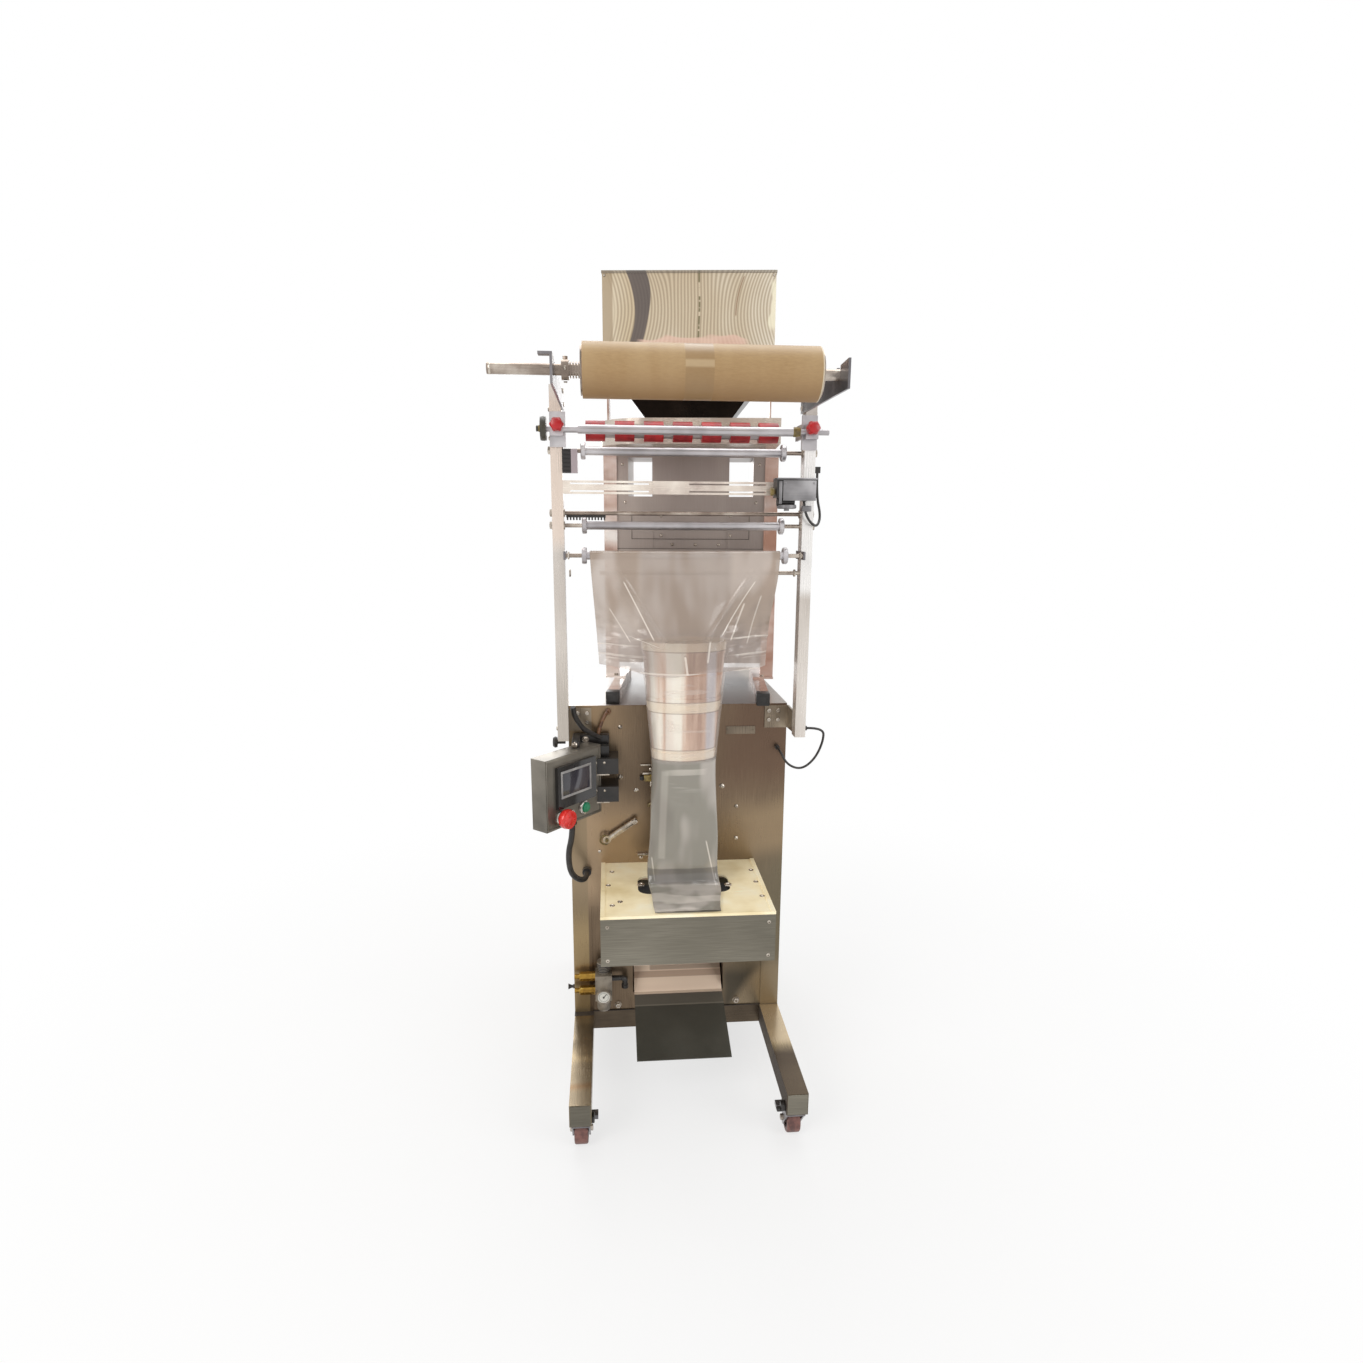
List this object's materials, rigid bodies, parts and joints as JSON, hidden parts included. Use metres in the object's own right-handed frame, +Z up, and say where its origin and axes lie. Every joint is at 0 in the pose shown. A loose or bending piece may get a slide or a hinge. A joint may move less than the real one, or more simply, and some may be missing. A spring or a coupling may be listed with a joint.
{
  "type": "vertical snack packing machine",
  "caption": "Upright form, fill and seal snack packing machine on castors, with hopper, film roll, film former, jaw box, control box and discharge chute.",
  "frame": {"origin": "middle of the machine's footprint, on the floor under the wheels", "axes": "+X to the machine's right seen from its front, +Y to its back, +Z up"},
  "size_m": [0.6411, 0.877, 1.7513],
  "materials": {
    "cabinet_steel": "warm brown-grey brushed stainless sheet",
    "deck_steel": "bright stainless sheet with a cream cast",
    "frame_steel": "satin stainless tube",
    "mirror_steel": "mirror-polished stainless sheet",
    "dark_steel": "stainless sheet seen dark",
    "roller_aluminium": "turned aluminium",
    "black_parts": "black plastic and blackened steel",
    "red_parts": "red silicone and plastic",
    "tread": "red-brown castor tread",
    "paper_core": "kraft paper tube",
    "clear_film": "clear packing film",
    "brass": "hex brass fittings",
    "box_steel": "brown-grey brushed steel box",
    "screen": "dark touch panel in a black bezel",
    "stop_red": "red mushroom button",
    "start_green": "green push button",
    "regulator": "cast body with a clear bowl and a white dial",
    "hose_black": "black cable"
  },
  "bodies": {
    "machine": {"air_fittings": "brass", "air_regulator": "regulator", "box_hinges": "black_parts", "cabinet": "cabinet_steel", "cable_glands": "black_parts", "chute": "dark_steel", "clamp_knobs": "red_parts", "coder_cable": "hose_black", "coder_rail": "frame_steel", "control_box": "box_steel", "control_hose": "hose_black", "cross_beams": "cabinet_steel", "cross_rods": "frame_steel", "date_coder": "black_parts", "feed_tray": "deck_steel", "filler_stand": "frame_steel", "film_sheet": "clear_film", "film_tube": "clear_film", "former": "mirror_steel", "hopper": "mirror_steel", "hopper_funnel": "dark_steel", "jaw_cover": "cabinet_steel", "jaw_deck": "deck_steel", "jaw_guides": "frame_steel", "left_rail": "cabinet_steel", "post_brackets": "cabinet_steel", "posts": "frame_steel", "ribbed_block": "black_parts", "right_rail": "cabinet_steel", "roll_arms": "frame_steel", "roller_clamps": "frame_steel", "roller_ears": "frame_steel", "side_cable": "hose_black", "touch_panel": "screen", "weigh_bucket": "frame_steel", "weigher_housing": "frame_steel"},
    "roll": {"film_roll": "paper_core", "roll_shaft": "frame_steel"},
    "upper_guide_roller": {"upper_guide_roller": "roller_aluminium"},
    "lower_guide_roller": {"lower_guide_roller": "roller_aluminium"},
    "film_guide_roller": {"film_guide_roller": "roller_aluminium"},
    "tension_roller": {"tension_roller": "roller_aluminium", "hand_wheel": "black_parts"},
    "pull_roller": {"pull_roller": "roller_aluminium", "pull_sleeves": "red_parts"},
    "front_jaw": {"front_jaw": "black_parts"},
    "back_jaw": {"back_jaw": "black_parts"},
    "emergency_stop": {"emergency_stop": "stop_red"},
    "start_button": {"start_button": "start_green"},
    "lever": {"lever": "frame_steel"},
    "fork_front_left": {"castor_fork_front_left": "frame_steel"},
    "wheel_front_left": {"castor_wheel_front_left": "tread"},
    "fork_front_right": {"castor_fork_front_right": "frame_steel"},
    "wheel_front_right": {"castor_wheel_front_right": "tread"},
    "fork_back_left": {"castor_fork_back_left": "frame_steel"},
    "wheel_back_left": {"castor_wheel_back_left": "tread"},
    "fork_back_right": {"castor_fork_back_right": "frame_steel"},
    "wheel_back_right": {"castor_wheel_back_right": "tread"}
  },
  "joints": [
    {"name": "roll_spin", "type": "hinge", "parent": "machine", "child": "roll", "pos_m": [0.03, -0.38274, 1.4813], "axis": [1, 0, 0], "continuous": true},
    {"name": "upper_guide_spin", "type": "hinge", "parent": "machine", "child": "upper_guide_roller", "pos_m": [0.03, -0.12474, 1.3773], "axis": [1, 0, 0], "continuous": true},
    {"name": "lower_guide_spin", "type": "hinge", "parent": "machine", "child": "lower_guide_roller", "pos_m": [0.03, -0.12474, 1.2373], "axis": [1, 0, 0], "continuous": true},
    {"name": "film_guide_spin", "type": "hinge", "parent": "machine", "child": "film_guide_roller", "pos_m": [0.03, -0.16974, 1.1813], "axis": [1, 0, 0], "continuous": true},
    {"name": "tension_roller_spin", "type": "hinge", "parent": "machine", "child": "tension_roller", "pos_m": [0.03, -0.15474, 1.4143], "axis": [1, 0, 0], "continuous": true},
    {"name": "pull_roller_spin", "type": "hinge", "parent": "machine", "child": "pull_roller", "pos_m": [0.03, -0.08374, 1.4183], "axis": [1, 0, 0], "continuous": true},
    {"name": "castor_swivel_front_left", "type": "hinge", "parent": "machine", "child": "fork_front_left", "pos_m": [-0.188, -0.32574, 0.06], "axis": [0, 0, 1], "continuous": true},
    {"name": "castor_roll_front_left", "type": "hinge", "parent": "fork_front_left", "child": "wheel_front_left", "pos_m": [-0.188, -0.30074, 0.03], "axis": [1, 0, 0], "continuous": true},
    {"name": "castor_swivel_front_right", "type": "hinge", "parent": "machine", "child": "fork_front_right", "pos_m": [0.248, -0.32574, 0.06], "axis": [0, 0, 1], "continuous": true},
    {"name": "castor_roll_front_right", "type": "hinge", "parent": "fork_front_right", "child": "wheel_front_right", "pos_m": [0.248, -0.30074, 0.03], "axis": [1, 0, 0], "continuous": true},
    {"name": "castor_swivel_back_left", "type": "hinge", "parent": "machine", "child": "fork_back_left", "pos_m": [-0.188, 0.38226, 0.06], "axis": [0, 0, 1], "continuous": true},
    {"name": "castor_roll_back_left", "type": "hinge", "parent": "fork_back_left", "child": "wheel_back_left", "pos_m": [-0.188, 0.40726, 0.03], "axis": [1, 0, 0], "continuous": true},
    {"name": "castor_swivel_back_right", "type": "hinge", "parent": "machine", "child": "fork_back_right", "pos_m": [0.248, 0.38226, 0.06], "axis": [0, 0, 1], "continuous": true},
    {"name": "castor_roll_back_right", "type": "hinge", "parent": "fork_back_right", "child": "wheel_back_right", "pos_m": [0.248, 0.40726, 0.03], "axis": [1, 0, 0], "continuous": true},
    {"name": "front_jaw_slide", "type": "slide", "parent": "machine", "child": "front_jaw", "axis": [0, 1, 0], "range_m": [0, 0.029]},
    {"name": "back_jaw_slide", "type": "slide", "parent": "machine", "child": "back_jaw", "axis": [0, 1, 0], "range_m": [-0.029, 0]},
    {"name": "emergency_stop_push", "type": "slide", "parent": "machine", "child": "emergency_stop", "axis": [-0.7604, 0.6494, 0], "range_m": [0, 0.006]},
    {"name": "start_button_push", "type": "slide", "parent": "machine", "child": "start_button", "axis": [-0.7604, 0.6494, 0], "range_m": [0, 0.003], "stiffness_N_per_m": 400},
    {"name": "lever_turn", "type": "hinge", "parent": "machine", "child": "lever", "pos_m": [-0.13, -0.03774, 0.5523], "axis": [0, 1, 0], "range_deg": [-56, 34]}
  ],
  "couplings": [
    {"joint": "back_jaw_slide", "follows": "front_jaw_slide", "ratio": -1}
  ]
}
